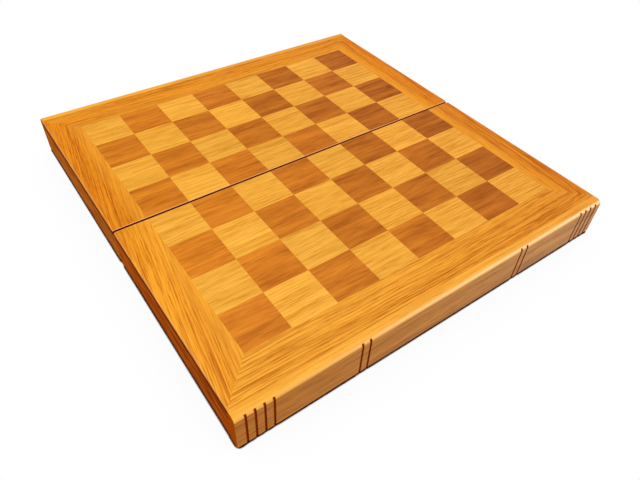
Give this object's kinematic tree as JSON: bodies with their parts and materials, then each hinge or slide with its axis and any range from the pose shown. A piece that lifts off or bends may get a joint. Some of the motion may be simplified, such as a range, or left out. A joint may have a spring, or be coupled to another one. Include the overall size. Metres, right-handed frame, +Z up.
{
  "type": "folding chessboard case",
  "caption": "Folding wooden chess case lying open and flat, with an inlaid checkered playing surface, nosed end rails with saw kerfs, brass hinges and two lined trays beneath.",
  "frame": {"origin": "on the table under the middle of the open board, where the fold crosses the board's centre line", "axes": "+X along the fold, +Y from the near half to the far half across the fold, +Z up out of the playing surface"},
  "size_m": [0.375, 0.393, 0.038],
  "materials": {
    "plywood": "birch plywood, lacquered edges",
    "case_wood": "solid honey-brown wood, satin lacquer",
    "rail_wood": "solid honey-coloured wood, satin lacquer",
    "dark_veneer": "red-brown veneer, satin lacquer",
    "light_veneer": "honey-yellow veneer, satin lacquer",
    "border_veneer": "orange-honey veneer, satin lacquer",
    "lining_felt": "dark green felt",
    "magnet_steel": "nickel-plated disc",
    "hinge_brass": "polished brass",
    "screw_brass": "polished brass",
    "pin_steel": "drawn steel wire",
    "pad_felt": "dark brown felt"
  },
  "bodies": {
    "near_half": {"near_panel": "plywood", "near_left_wall": "case_wood", "near_right_wall": "case_wood", "near_hinge_wall": "case_wood", "near_nosed_rail": "rail_wood", "near_dark_squares": "dark_veneer", "near_light_squares": "light_veneer", "near_left_border": "border_veneer", "near_right_border": "border_veneer", "near_end_border": "border_veneer", "near_lining": "lining_felt", "near_magnets": "magnet_steel", "near_hinge_screws": "screw_brass", "near_felt_pads": "pad_felt", "left_hinge_near_leaf": "hinge_brass", "right_hinge_near_leaf": "hinge_brass", "left_hinge_pin": "pin_steel", "right_hinge_pin": "pin_steel"},
    "far_half": {"far_panel": "plywood", "far_left_wall": "case_wood", "far_right_wall": "case_wood", "far_hinge_wall": "case_wood", "far_nosed_rail": "rail_wood", "far_dark_squares": "dark_veneer", "far_light_squares": "light_veneer", "far_left_border": "border_veneer", "far_right_border": "border_veneer", "far_end_border": "border_veneer", "far_lining": "lining_felt", "far_magnets": "magnet_steel", "far_hinge_screws": "screw_brass", "far_felt_pads": "pad_felt", "left_hinge_far_leaf": "hinge_brass", "right_hinge_far_leaf": "hinge_brass"}
  },
  "joints": [
    {"name": "fold", "type": "hinge", "parent": "near_half", "child": "far_half", "pos_m": [0, 0, 0.0016], "axis": [-1, 0, 0], "range_deg": [0, 179.4]}
  ]
}
